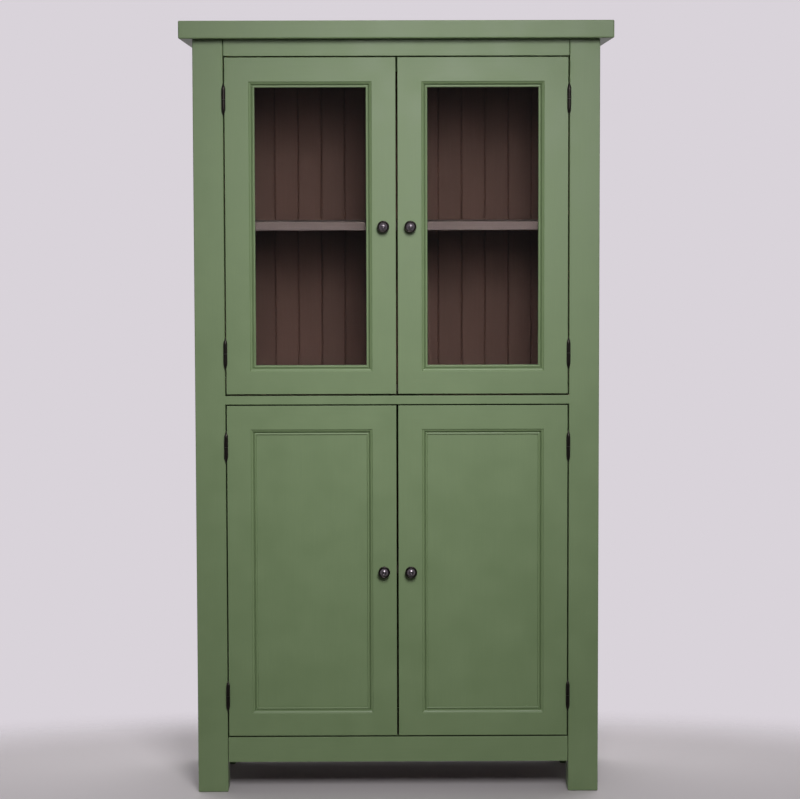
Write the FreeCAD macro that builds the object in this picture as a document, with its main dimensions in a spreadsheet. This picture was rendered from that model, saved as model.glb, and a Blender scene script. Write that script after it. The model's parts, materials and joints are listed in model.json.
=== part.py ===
"""A painted display cabinet: two glazed doors over two panelled doors, in millimetres.

Four square posts stand the full height and carry tenoned rails, panelled sides, two decks and a
back of tongued boards. Each door is a coped frame with a moulded inner edge, hung on two lift-off
hinges with finials. The frame is +Z up, the front faces -Y and the origin is on the floor in the
middle of the overall box.
"""
import FreeCAD, Part
import Sketcher
import math
import os
from types import SimpleNamespace

SIZES = {
    # The case and its top board
    "case_width": 940,
    "case_depth": 370,
    "case_height": 1759,
    "top_thickness": 41,
    "top_overhang_side": 30,
    "top_overhang_front": 30,
    "top_easing": 2,
    # Posts
    "post_width": 70,
    "post_depth": 70,
    "post_easing": 1.5,
    # Rails between the posts
    "leg_clearance": 71,
    "bottom_rail_height": 59,
    "middle_rail_height": 20,
    "middle_rail_level": 915,
    "top_rail_height": 38.6,
    "front_rail_depth": 30,
    "bottom_rail_setback": 1,
    "rear_rail_depth": 30,
    "rear_rail_height": 60,
    "side_rail_thickness": 22,
    "side_rail_height": 60,
    "tenon_length": 30,
    "tenon_thickness": 8,
    "tenon_height_share": 0.6,
    # Side panels and the boarded back
    "side_panel_thickness": 8,
    "groove_depth": 10,
    "back_setback": 13,
    "board_thickness": 12,
    "board_cover": 57,
    "board_chamfer": 2.5,
    "board_tongue": 5,
    "board_tongue_thickness": 4,
    "board_tongue_relief": 0.5,
    "narrowest_board": 20,
    # Decks, shelves and what carries them
    "deck_thickness": 20,
    "deck_clearance": 0.5,
    "bearer_width": 30,
    "bearer_height": 20,
    "shelf_thickness": 20,
    "shelf_setback": 20,
    "shelf_clearance": 2,
    "shelf_easing": 1,
    "upper_shelf_level": 1338.5,
    "lower_shelf_level": 531,
    "cleat_width": 18,
    "cleat_height": 16,
    "cleat_setback": 8,
    # Door frames
    "door_gap": 3,
    "meeting_gap": 4.4,
    "door_thickness": 22,
    "stile_width": 69,
    "door_easing": 0.8,
    # The moulded inner edge of a door frame, from the flat towards the sight edge
    "moulding_width": 14,
    "listel_width": 1.2,
    "listel_drop": 1.2,
    "slope_width": 5.4,
    "slope_drop": 2.8,
    "slope_curve": 12,
    "quirk_width": 0.8,
    "quirk_drop": 1.8,
    "nose_radius": 1.6,
    # Infill of the doors
    "glass_depth": 10,
    "glass_thickness": 4,
    "glass_clearance": 1,
    "rebate_width": 9,
    "bead_width": 8,
    "bead_bevel": 5,
    "panel_depth": 9,
    "panel_thickness": 6,
    "panel_clearance": 0.5,
    # Knobs
    "knob_radius": 14,
    "knob_projection": 26,
    "knob_inset": 29.3,
    "knob_base_radius": 8,
    "knob_base_height": 1.5,
    "knob_neck_radius": 4.5,
    "knob_neck_height": 9,
    "knob_flare_radius": 5.4,
    "knob_flare_height": 4.2,
    "knob_cup_radius": 9.4,
    "knob_cup_height": 14,
    "knob_rim_height": 17,
    "knob_rim_thickness": 4,
    "knob_edge_width": 1.4,
    "knob_ring_width": 1.6,
    "knob_ring_drop": 0.8,
    "knob_face_radius": 7.5,
    "knob_face_height": 24,
    "knob_tip_radius": 2,
    # Lift-off hinges
    "hinge_inset": 96,
    "leaf_height": 50,
    "leaf_width": 25,
    "leaf_thickness": 2,
    "barrel_radius": 5,
    "barrel_clearance": 0.3,
    "knuckle_gap": 0.3,
    "hinge_pin_radius": 3,
    "running_clearance": 0.05,
    "hinge_bore_end": 3,
    "pin_end_gap": 1,
    "cut_overrun": 1,
    "finial_shoulder_radius": 4,
    "finial_shoulder_height": 3.5,
    "finial_taper_radius": 2.2,
    "finial_taper_height": 8.5,
    "finial_tip_radius": 0.8,
    "finial_height": 13.5,
    # Magnetic catches
    "catch_width": 46,
    "catch_height": 16,
    "catch_depth": 18,
    "catch_gap": 0.5,
    "catch_easing": 1.5,
    "strike_width": 40,
    "strike_height": 10,
    "strike_thickness": 1.5,
}


class Size:
    """A named size or a sum of them: its number now, and the expression that keeps it."""

    def __init__(self, number, text):
        self.number = number
        self.text = text

    @staticmethod
    def of(value):
        return value if isinstance(value, Size) else Size(value, str(value))

    def __add__(self, other):
        other = Size.of(other)
        return Size(self.number + other.number, f"({self.text} + {other.text})")

    def __sub__(self, other):
        other = Size.of(other)
        return Size(self.number - other.number, f"({self.text} - {other.text})")

    def __mul__(self, share):
        share = Size.of(share)
        return Size(self.number * share.number, f"({self.text} * {share.text})")

    __rmul__ = __mul__

    def __truediv__(self, parts):
        return Size(self.number / parts, f"({self.text} / {parts})")

    def __neg__(self):
        return Size(-self.number, f"(-1 * {self.text})")


doc = FreeCAD.newDocument("display_cabinet")
sheet = doc.addObject("Spreadsheet::Sheet", "dims")
for row, (alias, number) in enumerate(SIZES.items(), start=1):
    sheet.set(f"A{row}", alias)
    sheet.set(f"B{row}", str(number))
    sheet.setAlias(f"B{row}", alias)
doc.recompute()
d = SimpleNamespace(**{alias: Size(sheet.get(alias), "dims." + alias) for alias in SIZES})

# Small hardware is repeated, so its turned forms have a few flat facets instead of true rounds
KNOB_FACETS = 20
HINGE_FACETS = 12

X_AXIS = FreeCAD.Vector(1, 0, 0)
Y_AXIS = FreeCAD.Vector(0, 1, 0)
Z_AXIS = FreeCAD.Vector(0, 0, 1)
nodes = {}


def bind(piece, prop, size):
    """Ties one property of a piece to a sum of named sizes."""
    piece.setExpression(prop, Size.of(size).text)


def place(piece, corner):
    """Ties the place of a piece to named sizes."""
    for axis, at in zip("xyz", corner):
        bind(piece, "Placement.Base." + axis, at)


def node(label, piece):
    """Keeps a finished piece as a node of its own name."""
    piece.Label = label
    nodes[label] = piece
    return piece


def block(label, corner, size):
    """A rectangular piece, from its lowest corner and its three sizes."""
    piece = doc.addObject("Part::Box", label)
    for side, length in zip(("Length", "Width", "Height"), size):
        bind(piece, side, length)
    place(piece, corner)
    return piece


def rod(label, centre, radius, length):
    """An upright round bar, from the centre of its foot."""
    piece = doc.addObject("Part::Cylinder", label)
    bind(piece, "Radius", radius)
    bind(piece, "Height", length)
    place(piece, centre)
    return piece


def compound(label, pieces):
    """Several separate pieces kept together."""
    group = doc.addObject("Part::Compound", label)
    group.Links = pieces
    return group


def fuse(label, base, tool):
    """Two solids joined into one, without the seams between flush faces."""
    joined = doc.addObject("Part::Fuse", label)
    joined.Base = base
    joined.Tool = tool
    joined.Refine = True
    return joined


def cut(label, base, tools):
    """A piece housed out to the exact shape of each piece that it holds."""
    cutter = tools[0] if len(tools) == 1 else compound(label + "_cutters", tools)
    result = doc.addObject("Part::Cut", label)
    result.Base = base
    result.Tool = cutter
    return result


def mirrored(label, piece):
    """The right-hand twin of a left-hand piece."""
    twin = doc.addObject("Part::Mirroring", label)
    twin.Source = piece
    twin.Normal = X_AXIS
    return twin


def arc_between(start, end, radius):
    """An arc between two points: a positive radius has its centre on the left of the way.

    Its ends are kept anticlockwise, so a way with its centre on the right starts at the arc's end.
    """
    chord = end - start
    half = chord.Length / 2
    side = 1 if radius > 0 else -1
    to_centre = FreeCAD.Vector(-chord.y, chord.x, 0).normalize() * side
    centre = (start + end) / 2 + to_centre * max(radius * radius - half * half, 0) ** 0.5
    first, last = (start, end) if radius > 0 else (end, start)
    angles = [math.atan2(point.y - centre.y, point.x - centre.x) for point in (first, last)]
    return Part.ArcOfCircle(Part.Circle(centre, Z_AXIS, abs(radius)), *angles)


def outline_sketch(body, role, outline):
    """A closed outline on one of the body's origin planes, held by constraints to the sheet.

    Each entry is (across, up) in named sizes. A third value rounds the way to the next point
    with that radius, whose centre is on the left of the way, or on the right if it is negated.
    """
    sketch = body.newObject("Sketcher::SketchObject", body.Name + "_outline")
    plane = [part for part in body.Origin.OriginFeatures if part.Role == role][0]
    sketch.AttachmentSupport = [(plane, "")]
    sketch.MapMode = "FlatFace"
    corners = [(Size.of(entry[0]), Size.of(entry[1])) for entry in outline]
    points = [FreeCAD.Vector(across.number, up.number, 0) for across, up in corners]
    radii = [entry[2] if len(entry) == 3 else None for entry in outline]
    ways = []
    for here, radius in enumerate(radii):
        start, end = points[here], points[(here + 1) % len(points)]
        edge = arc_between(start, end, radius.number) if radius else Part.LineSegment(start, end)
        sketch.addGeometry(edge)
        ways.append((2, 1) if radius and radius.number < 0 else (1, 2))
    for here, (across, up) in enumerate(corners):
        before = here - 1 if here else len(outline) - 1
        start = ways[here][0]
        sketch.addConstraint(Sketcher.Constraint("Coincident", before, ways[before][1], here, start))
        for kind, at in (("DistanceX", across), ("DistanceY", up)):
            index = sketch.addConstraint(Sketcher.Constraint(kind, -1, 1, here, start, at.number))
            sketch.setExpression(f"Constraints[{index}]", at.text)
    for here, radius in enumerate(radii):
        if radius:
            size = radius if radius.number > 0 else -radius
            index = sketch.addConstraint(Sketcher.Constraint("Radius", here, size.number))
            sketch.setExpression(f"Constraints[{index}]", size.text)
    return sketch


def moulded_length(label, outline, length, turn, corner):
    """A length of one section: the section lies in XY, and a turn about Y lays the length down."""
    body = doc.addObject("PartDesign::Body", label)
    sketch = outline_sketch(body, "XY_Plane", outline)
    pad = body.newObject("PartDesign::Pad", label + "_length")
    pad.Profile = sketch
    bind(pad, "Length", length)
    body.Placement.Rotation = FreeCAD.Rotation(Y_AXIS, turn)
    place(body, corner)
    return body


def turned(label, outline, facets, centre, turn=0):
    """A small turned piece: a ring of points for each (radius, height) of its outline.

    Flat facets join each ring to the next, and its two end rings are closed with flat ends. The
    piece stands on its own Z, and a turn about X aims it.
    """
    angles = [2 * math.pi * number / facets for number in range(facets)]
    rings = []
    for radius, height in outline:
        r, z = Size.of(radius).number, Size.of(height).number
        rings.append([FreeCAD.Vector(r * math.cos(a), r * math.sin(a), z) for a in angles])
    walls = [Part.Face(Part.makePolygon(ring + ring[:1])) for ring in (rings[0], rings[-1])]
    for low, high in zip(rings, rings[1:]):
        for here in range(facets):
            corners = [low[here - 1], low[here], high[here], high[here - 1], low[here - 1]]
            walls.append(Part.Face(Part.makePolygon(corners)))
    piece = doc.addObject("Part::Feature", label)
    piece.Shape = Part.makeSolid(Part.makeShell(walls))
    piece.Placement.Rotation = FreeCAD.Rotation(X_AXIS, turn)
    place(piece, centre)
    return piece


def eased_block(label, corner, size, easing):
    """A rectangular piece with all its arrises bevelled."""
    length, width, height = size
    body = doc.addObject("PartDesign::Body", label)
    sketch = outline_sketch(body, "XY_Plane", [(0, 0), (length, 0), (length, width), (0, width)])
    pad = body.newObject("PartDesign::Pad", label + "_height")
    pad.Profile = sketch
    bind(pad, "Length", height)
    doc.recompute()
    bevel = body.newObject("PartDesign::Chamfer", label + "_easing")
    bevel.Base = (pad, [f"Edge{number + 1}" for number in range(len(pad.Shape.Edges))])
    bind(bevel, "Size", easing)
    place(body, corner)
    return body


def tenoned_rail(label, corner, size, along):
    """A rail with a tenon on each end: one long core runs through it and out past both ends."""
    across = 1 - along
    rail = block(label + "_body", corner, size)
    core_corner, core_size = list(corner), list(size)
    core_corner[along] = corner[along] - d.tenon_length
    core_size[along] = size[along] + d.tenon_length * 2
    core_size[across] = d.tenon_thickness
    core_corner[across] = corner[across] + (size[across] - d.tenon_thickness) / 2
    core_size[2] = size[2] * d.tenon_height_share
    core_corner[2] = corner[2] + (size[2] - core_size[2]) / 2
    return fuse(label, rail, block(label + "_tenons", core_corner, core_size))


# Planes and spaces that several pieces share
rear_plane = (d.case_depth + d.top_overhang_front) / 2
face_plane = rear_plane - d.case_depth
half_case = d.case_width / 2
half_opening = half_case - d.post_width
opening_width = half_opening * 2
side_length = d.case_depth - d.post_depth * 2
side_start = face_plane + d.post_depth
boards_face = rear_plane - d.back_setback - d.board_thickness
rail_back = face_plane + d.front_rail_depth
bottom_rail_top = d.leg_clearance + d.bottom_rail_height
top_rail_level = d.case_height - d.top_rail_height
middle_rail_top = d.middle_rail_level + d.middle_rail_height

# Doors: both tiers share their width and the left-hand edge
door_left = d.door_gap - half_opening
door_width = (opening_width - d.door_gap * 2 - d.meeting_gap) / 2
door_lock_edge = door_left + door_width
door_back = face_plane + d.door_thickness
TIERS = {
    "lower": (bottom_rail_top + d.door_gap, d.middle_rail_level - d.door_gap),
    "upper": (middle_rail_top + d.door_gap, top_rail_level - d.door_gap),
}


def top_board():
    """The overhanging top, with every arris eased."""
    corner = (-half_case - d.top_overhang_side, face_plane - d.top_overhang_front, d.case_height)
    length = d.case_width + d.top_overhang_side * 2
    width = d.case_depth + d.top_overhang_front
    size = (length, width, d.top_thickness)
    node("top_board", eased_block("top_board_body", corner, size, d.top_easing))


def front_rails():
    """The three rails that the doors close between, flush with the posts or just behind them."""
    for name, level, height, setback in (
        ("top", top_rail_level, d.top_rail_height, Size.of(0)),
        ("middle", d.middle_rail_level, d.middle_rail_height, Size.of(0)),
        ("bottom", d.leg_clearance, d.bottom_rail_height, d.bottom_rail_setback),
    ):
        corner = (-half_opening, face_plane + setback, level)
        size = (opening_width, d.front_rail_depth - setback, height)
        node("rail_front_" + name, tenoned_rail("rail_front_" + name, corner, size, along=0))


def boarded_back():
    """Tongued boards with V joints, and the grooved rear rails that hold their ends."""
    start = -half_opening - d.groove_depth
    span = opening_width + d.groove_depth * 2
    foot = d.leg_clearance + d.rear_rail_height - d.groove_depth
    height = d.case_height - d.rear_rail_height + d.groove_depth - foot
    space = block("back_space", (start, boards_face, foot), (span, d.board_thickness, height))

    full_boards = int((span.number - d.narrowest_board.number) // d.board_cover.number)
    inner = (d.board_thickness - d.board_tongue_thickness) / 2
    outer = (d.board_thickness + d.board_tongue_thickness) / 2
    slot = d.board_tongue + d.board_tongue_relief
    boards = []
    for place_number in range(full_boards + 1):
        last = place_number == full_boards
        cover = span - d.board_cover * full_boards if last else d.board_cover
        outline = [(d.board_chamfer, 0), (cover - d.board_chamfer, 0), (cover, d.board_chamfer)]
        if not last:
            outline += [(cover, inner), (cover - slot, inner), (cover - slot, outer), (cover, outer)]
        outline += [(cover, d.board_thickness), (0, d.board_thickness)]
        if place_number:
            outline += [(0, outer), (-d.board_tongue, outer), (-d.board_tongue, inner), (0, inner)]
        outline += [(0, d.board_chamfer)]
        corner = (start + d.board_cover * place_number, boards_face, foot)
        boards.append(moulded_length(f"back_board_{place_number + 1}", outline, height, 0, corner))
    node("back_boards", compound("back_boards", boards))

    for name, level in (("top", d.case_height - d.rear_rail_height), ("bottom", d.leg_clearance)):
        label = "rail_rear_" + name
        corner = (-half_opening, rear_plane - d.rear_rail_depth, level)
        size = (opening_width, d.rear_rail_depth, d.rear_rail_height)
        node(label, cut(label, tenoned_rail(label + "_blank", corner, size, along=0), [space]))
    return space


def side_frame():
    """A panel held in grooves of its two rails; the posts are cut to the same panel."""
    reach = (d.side_rail_thickness - d.side_panel_thickness) / 2
    foot = d.leg_clearance + d.side_rail_height - d.groove_depth
    height = d.case_height - d.side_rail_height + d.groove_depth - foot
    corner = (reach - half_case, side_start - d.groove_depth, foot)
    size = (d.side_panel_thickness, side_length + d.groove_depth * 2, height)
    panel = node("side_panel_left", block("side_panel_left", corner, size))
    node("side_panel_right", mirrored("side_panel_right", panel))
    for name, level in (("top", d.case_height - d.side_rail_height), ("bottom", d.leg_clearance)):
        label = f"side_rail_{name}_left"
        size = (d.side_rail_thickness, side_length, d.side_rail_height)
        blank = tenoned_rail(label + "_blank", (-half_case, side_start, level), size, along=1)
        rail = node(label, cut(label, blank, [panel]))
        node(f"side_rail_{name}_right", mirrored(f"side_rail_{name}_right", rail))


def decks():
    """The two fixed floors, notched round the posts, and the bearers screwed between the posts."""
    panel_inside = half_case - (d.side_rail_thickness + d.side_panel_thickness) / 2
    rail_inside = half_case - d.side_rail_thickness
    rear_rail_face = rear_plane - d.rear_rail_depth
    rear_notch_start = rear_plane - d.post_depth - d.deck_clearance
    notch = (d.post_width + d.deck_clearance, d.post_depth + d.deck_clearance, d.deck_thickness)
    bearers = []
    for name, half_width, rear, top in (
        ("middle", panel_inside, boards_face, middle_rail_top),
        ("bottom", rail_inside, rear_rail_face, bottom_rail_top),
    ):
        level = top - d.deck_thickness
        reach = half_width - d.deck_clearance
        size = (reach * 2, rear - rail_back, d.deck_thickness)
        deck = block(f"deck_{name}_blank", (-reach, rail_back, level), size)
        notches = []
        for end, start in (("front", face_plane), ("rear", rear_notch_start)):
            left = block(f"deck_{name}_notch_{end}_left", (-half_case, start, level), notch)
            notches += [left, mirrored(f"deck_{name}_notch_{end}_right", left)]
        node("deck_" + name, cut("deck_" + name, deck, notches))

        corner = (-half_opening - d.bearer_width, side_start, level - d.bearer_height)
        bearer = block(f"bearer_{name}_left", corner, (d.bearer_width, side_length, d.bearer_height))
        bearers += [bearer, mirrored(f"bearer_{name}_right", bearer)]
    node("deck_bearers", compound("deck_bearers", bearers))


def shelves():
    """Two loose shelves, each on a pair of cleats screwed across the posts' inner faces."""
    front = door_back + d.shelf_setback
    rear = boards_face - d.shelf_clearance
    reach = half_opening - d.shelf_clearance
    cleats = []
    for name, top in (("upper", d.upper_shelf_level), ("lower", d.lower_shelf_level)):
        level = top - d.shelf_thickness
        size = (reach * 2, rear - front, d.shelf_thickness)
        shelf = eased_block(f"shelf_{name}_body", (-reach, front, level), size, d.shelf_easing)
        node("shelf_" + name, shelf)
        corner = (-half_opening, front + d.cleat_setback, level - d.cleat_height)
        size = (d.cleat_width, rear - front - d.cleat_setback, d.cleat_height)
        cleat = block(f"cleat_{name}_left", corner, size)
        cleats += [cleat, mirrored(f"cleat_{name}_right", cleat)]
    node("shelf_cleats", compound("shelf_cleats", cleats))


def hinge_leaf(label, centre, bore_radius, turn):
    """A leaf, its knuckle and its finial. As drawn it is the door's, above the joint line.

    Turned half round about Y it is the post's, below the joint line.
    """
    half = d.leaf_height / 2
    foot = d.knuckle_gap / 2
    to_face = d.barrel_radius + d.barrel_clearance
    plate_size = (d.leaf_thickness, d.leaf_width, d.leaf_height)
    plate = block(label + "_plate", (d.door_gap / 2, to_face, -half), plate_size)
    neck_size = (d.leaf_thickness, to_face, half - foot)
    neck = block(label + "_neck", (d.door_gap / 2, 0, foot), neck_size)
    outline = [
        (d.barrel_radius, foot),
        (d.barrel_radius, half),
        (d.finial_shoulder_radius, half + d.finial_shoulder_height),
        (d.finial_taper_radius, half + d.finial_taper_height),
        (d.finial_tip_radius, half + d.finial_height),
    ]
    knuckle = turned(label + "_knuckle", outline, HINGE_FACETS, (0, 0, 0))
    whole = fuse(label + "_whole", fuse(label + "_flat", plate, neck), knuckle)
    bore_length = half - d.hinge_bore_end - foot + d.cut_overrun
    bore = rod(label + "_bore", (0, 0, foot - d.cut_overrun), bore_radius, bore_length)
    leaf = cut(label, whole, [bore])
    leaf.Placement.Rotation = FreeCAD.Rotation(Y_AXIS, turn)
    place(leaf, centre)
    return leaf


def hinges():
    """Two lift-off hinges to a door: the pin stands in the post's knuckle, the door's drops on it."""
    axis_x = door_left - d.door_gap / 2
    axis_y = face_plane - d.barrel_radius - d.barrel_clearance
    post_leaves, pins, door_leaves = [], [], {}
    for tier, (low, high) in TIERS.items():
        door_leaves[tier] = []
        for end, level in (("bottom", low + d.hinge_inset), ("top", high - d.hinge_inset)):
            name = f"{tier}_{end}"
            centre = (axis_x, axis_y, level)
            bore = d.hinge_pin_radius + d.running_clearance
            door_leaves[tier].append(hinge_leaf("door_leaf_" + name, centre, bore, 0))
            post_leaves.append(hinge_leaf("post_leaf_" + name, centre, d.hinge_pin_radius, 180))
            pin_foot = (axis_x, axis_y, level - d.leaf_height / 2 + d.hinge_bore_end)
            pin_length = d.leaf_height - d.hinge_bore_end * 2 - d.pin_end_gap
            pins.append(rod("hinge_pin_" + name, pin_foot, d.hinge_pin_radius, pin_length))
    for label, pieces in (("hinge_post_leaves", post_leaves), ("hinge_pins", pins)):
        twins = [mirrored(piece.Name + "_right", piece) for piece in pieces]
        node(label, compound(label, pieces + twins))
    return post_leaves, door_leaves


def posts(post_leaves, back_space):
    """The posts, each mortised, grooved and housed for exactly the pieces that it holds."""
    front_rails_held = [nodes["rail_front_" + name] for name in ("top", "middle", "bottom")]
    rear_rails_held = [nodes["rail_rear_" + name] for name in ("top", "bottom")]
    side = [nodes[name] for name in ("side_rail_top_left", "side_rail_bottom_left", "side_panel_left")]
    for end, start, held in (
        ("front", face_plane, front_rails_held + side + post_leaves),
        ("rear", rear_plane - d.post_depth, rear_rails_held + side + [back_space]),
    ):
        label = f"post_{end}_left"
        size = (d.post_width, d.post_depth, d.case_height)
        blank = eased_block(label + "_blank", (-half_case, start, 0), size, d.post_easing)
        post = node(label, cut(label, blank, held))
        node(f"post_{end}_right", mirrored(f"post_{end}_right", post))


def frame_outline(infill):
    """The section of a door's stiles and rails, from the outer edge to the moulded sight edge."""
    flat = d.stile_width - d.moulding_width
    slope_start = flat + d.listel_width
    slope_end = slope_start + d.slope_width
    slope_foot = d.listel_drop + d.slope_drop
    band = slope_foot + d.quirk_drop
    outline = [
        (0, d.door_easing, d.door_easing),
        (d.door_easing, 0),
        (flat, 0),
        (slope_start, d.listel_drop, -d.slope_curve),
        (slope_end, slope_foot),
        (slope_end + d.quirk_width, band),
        (d.stile_width - d.nose_radius, band, d.nose_radius),
        (d.stile_width, band + d.nose_radius),
    ]
    if infill == "glass":
        rebate = d.stile_width - d.rebate_width
        outline += [(d.stile_width, d.glass_depth), (rebate, d.glass_depth), (rebate, d.door_thickness)]
    else:
        groove = d.stile_width - d.groove_depth
        panel_back = d.panel_depth + d.panel_thickness
        outline += [(d.stile_width, d.panel_depth), (groove, d.panel_depth), (groove, panel_back)]
        outline += [(d.stile_width, panel_back), (d.stile_width, d.door_thickness)]
    return outline + [(0, d.door_thickness)]


def coped_frame(name, outline, corner, width, height, reach):
    """Two uprights, and two cross pieces whose ends are cut to the uprights' own section.

    The cross pieces start `reach` in from the frame's edges, at the bottom of the uprights' groove.
    """
    x, y, z = corner
    top_level = z + height
    hinge_side = moulded_length(name + "_hinge_side", outline, height, 0, corner)
    lock_side = moulded_length(name + "_lock_side", outline, height, 180, (x + width, y, top_level))
    length = width - reach * 2
    bottom = moulded_length(name + "_bottom_blank", outline, length, -90, (x + width - reach, y, z))
    top = moulded_length(name + "_top_blank", outline, length, 90, (x + reach, y, top_level))
    bottom = cut(name + "_bottom", bottom, [hinge_side, lock_side])
    top = cut(name + "_top", top, [hinge_side, lock_side])
    return hinge_side, lock_side, bottom, top


def knob(label, height):
    """A turned knob: flanged base, waisted neck, cupped head with a rim, a ring and a domed face."""
    rim = d.knob_rim_height + d.knob_rim_thickness
    edge = d.knob_radius - d.knob_edge_width
    ring = edge - d.knob_ring_width
    outline = [
        (d.knob_base_radius, 0),
        (d.knob_base_radius, d.knob_base_height),
        (d.knob_flare_radius, d.knob_flare_height),
        (d.knob_neck_radius, d.knob_neck_height),
        (d.knob_cup_radius, d.knob_cup_height),
        (edge, d.knob_rim_height),
        (d.knob_radius, d.knob_rim_height + d.knob_edge_width),
        (d.knob_radius, rim - d.knob_edge_width),
        (edge, rim),
        (ring, rim - d.knob_ring_drop),
        (d.knob_face_radius, d.knob_face_height),
        (d.knob_tip_radius, d.knob_projection),
    ]
    centre = (door_lock_edge - d.knob_inset, face_plane, height)
    return turned(label, outline, KNOB_FACETS, centre, turn=90)


def infill_of(tier, infill, sight_x, sight_z, sight_width, sight_height):
    """The pane with its beads, or the panel, let into the door's frame."""
    name = "door_" + tier
    if infill == "glass":
        reach = d.rebate_width - d.glass_clearance
        corner = (sight_x - reach, face_plane + d.glass_depth, sight_z - reach)
        size = (sight_width + reach * 2, d.glass_thickness, sight_height + reach * 2)
        pane = block(name + "_glass_left", corner, size)
        depth = d.glass_depth + d.glass_thickness
        height = d.door_thickness - depth
        outline = [
            (0, 0),
            (d.bead_width, 0),
            (d.bead_width, height - d.bead_bevel),
            (d.bead_width - d.bead_bevel, height),
            (0, height),
        ]
        corner = (sight_x - d.rebate_width, face_plane + depth, sight_z - d.rebate_width)
        around = (sight_width + d.rebate_width * 2, sight_height + d.rebate_width * 2)
        lengths = coped_frame(name + "_bead", outline, corner, *around, 0)
        return {"glass": pane, "glazing_beads": compound(name + "_beads_left", list(lengths))}
    reach = d.groove_depth - d.panel_clearance
    corner = (sight_x - reach, face_plane + d.panel_depth, sight_z - reach)
    size = (sight_width + reach * 2, d.panel_thickness, sight_height + reach * 2)
    return {"panel": block(name + "_panel_left", corner, size)}


def door(tier, infill, leaves, catch_side):
    """One left-hand door with everything that swings with it, and its right-hand twin."""
    low, high = TIERS[tier]
    height = high - low
    name = "door_" + tier
    reach = d.stile_width - (d.rebate_width if infill == "glass" else d.groove_depth)
    corner = (door_left, face_plane, low)
    frame = coped_frame(name, frame_outline(infill), corner, door_width, height, reach)
    hinge_side, lock_side, bottom, top = frame
    pieces = {
        "hinge_stile": cut(name + "_hinge_stile_left", hinge_side, leaves),
        "lock_stile": lock_side,
        "bottom_rail": bottom,
        "top_rail": top,
        "knob": knob(name + "_knob_left", low + height / 2),
        "hinge_leaves": compound(name + "_leaves_left", leaves),
        "strike_plate": strike(name, catch_side),
    }
    sight = (door_left + d.stile_width, low + d.stile_width)
    sight_size = (door_width - d.stile_width * 2, height - d.stile_width * 2)
    pieces.update(infill_of(tier, infill, *sight, *sight_size))
    for piece_name, piece in pieces.items():
        node(f"door_{tier}_left_{piece_name}", piece)
        node(f"door_{tier}_right_{piece_name}", mirrored(f"door_{tier}_right_{piece_name}", piece))


def catch_centre(side):
    """The middle of a magnetic catch, on the deck for the doors above or under it for those below."""
    x = door_lock_edge - d.stile_width / 2
    above = middle_rail_top + d.catch_height / 2
    below = d.middle_rail_level - d.catch_height / 2
    return x, above if side == "above" else below


def strike(name, side):
    """The steel plate on a door's back that meets the magnet."""
    x, z = catch_centre(side)
    corner = (x - d.strike_width / 2, door_back, z - d.strike_height / 2)
    return block(name + "_strike_left", corner, (d.strike_width, d.strike_thickness, d.strike_height))


def catches():
    """The four magnetic catches screwed to the middle deck and rail."""
    pieces = []
    front = door_back + d.strike_thickness + d.catch_gap
    for side in ("above", "below"):
        x, z = catch_centre(side)
        corner = (x - d.catch_width / 2, front, z - d.catch_height / 2)
        size = (d.catch_width, d.catch_depth, d.catch_height)
        left = eased_block("catch_" + side, corner, size, d.catch_easing)
        pieces += [left, mirrored("catch_" + side + "_right", left)]
    node("magnet_catches", compound("magnet_catches", pieces))


def write_nodes():
    """Checks every object of the document and writes each node to its own file."""
    doc.recompute()
    for piece in doc.Objects:
        if "Invalid" in piece.State or "Error" in piece.State:
            raise RuntimeError(f"{piece.Label} failed: {piece.State}")
    os.makedirs("parts", exist_ok=True)
    for label, piece in nodes.items():
        shape = piece.Shape
        if shape.isNull() or not shape.isValid() or not shape.Solids:
            raise RuntimeError(f"{label} has no valid solid")
        shape.exportStep(f"parts/{label}.step")
        print(f"{label}: {len(shape.Solids)} solids, {shape.Volume / 1000:.1f} cm3")
    print(len(nodes), "nodes")


top_board()
front_rails()
space_for_boards = boarded_back()
side_frame()
decks()
shelves()
leaves_on_posts, leaves_on_doors = hinges()
posts(leaves_on_posts, space_for_boards)
door("lower", "panel", leaves_on_doors["lower"], catch_side="below")
door("upper", "glass", leaves_on_doors["upper"], catch_side="above")
catches()
write_nodes()
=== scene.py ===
"""The looks of a painted display cabinet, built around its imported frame, in metres.

The posts, sides, decks, shelves, back, door panels and panes are the frame's own. The top board,
front rails, door frames, knobs, hinges and small fittings are surfaces worked out here, and every
surface gets its real finish.
"""
import json
import math

import bmesh
import bpy
import numpy as np
from bpy.props import (
    FloatProperty, FloatVectorProperty, IntProperty, PointerProperty, StringProperty)
from mathutils import Matrix, Vector


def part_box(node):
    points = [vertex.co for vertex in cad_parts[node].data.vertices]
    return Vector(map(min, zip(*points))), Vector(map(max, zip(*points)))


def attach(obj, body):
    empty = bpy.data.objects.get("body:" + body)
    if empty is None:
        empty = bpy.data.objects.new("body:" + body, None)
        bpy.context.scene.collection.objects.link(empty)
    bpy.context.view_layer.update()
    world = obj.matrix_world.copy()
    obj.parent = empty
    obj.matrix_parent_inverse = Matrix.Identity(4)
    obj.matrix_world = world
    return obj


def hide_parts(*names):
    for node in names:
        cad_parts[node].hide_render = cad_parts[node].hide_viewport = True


bl_info = {
    "name": "Painted Display Cabinet",
    "version": (1, 0, 0),
    "blender": (4, 5, 0),
    "location": "3D View > Sidebar > Cabinet",
    "description": "Gives a painted display cabinet its finishes, knobs, hinges and fittings",
    "category": "Object",
}

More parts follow.
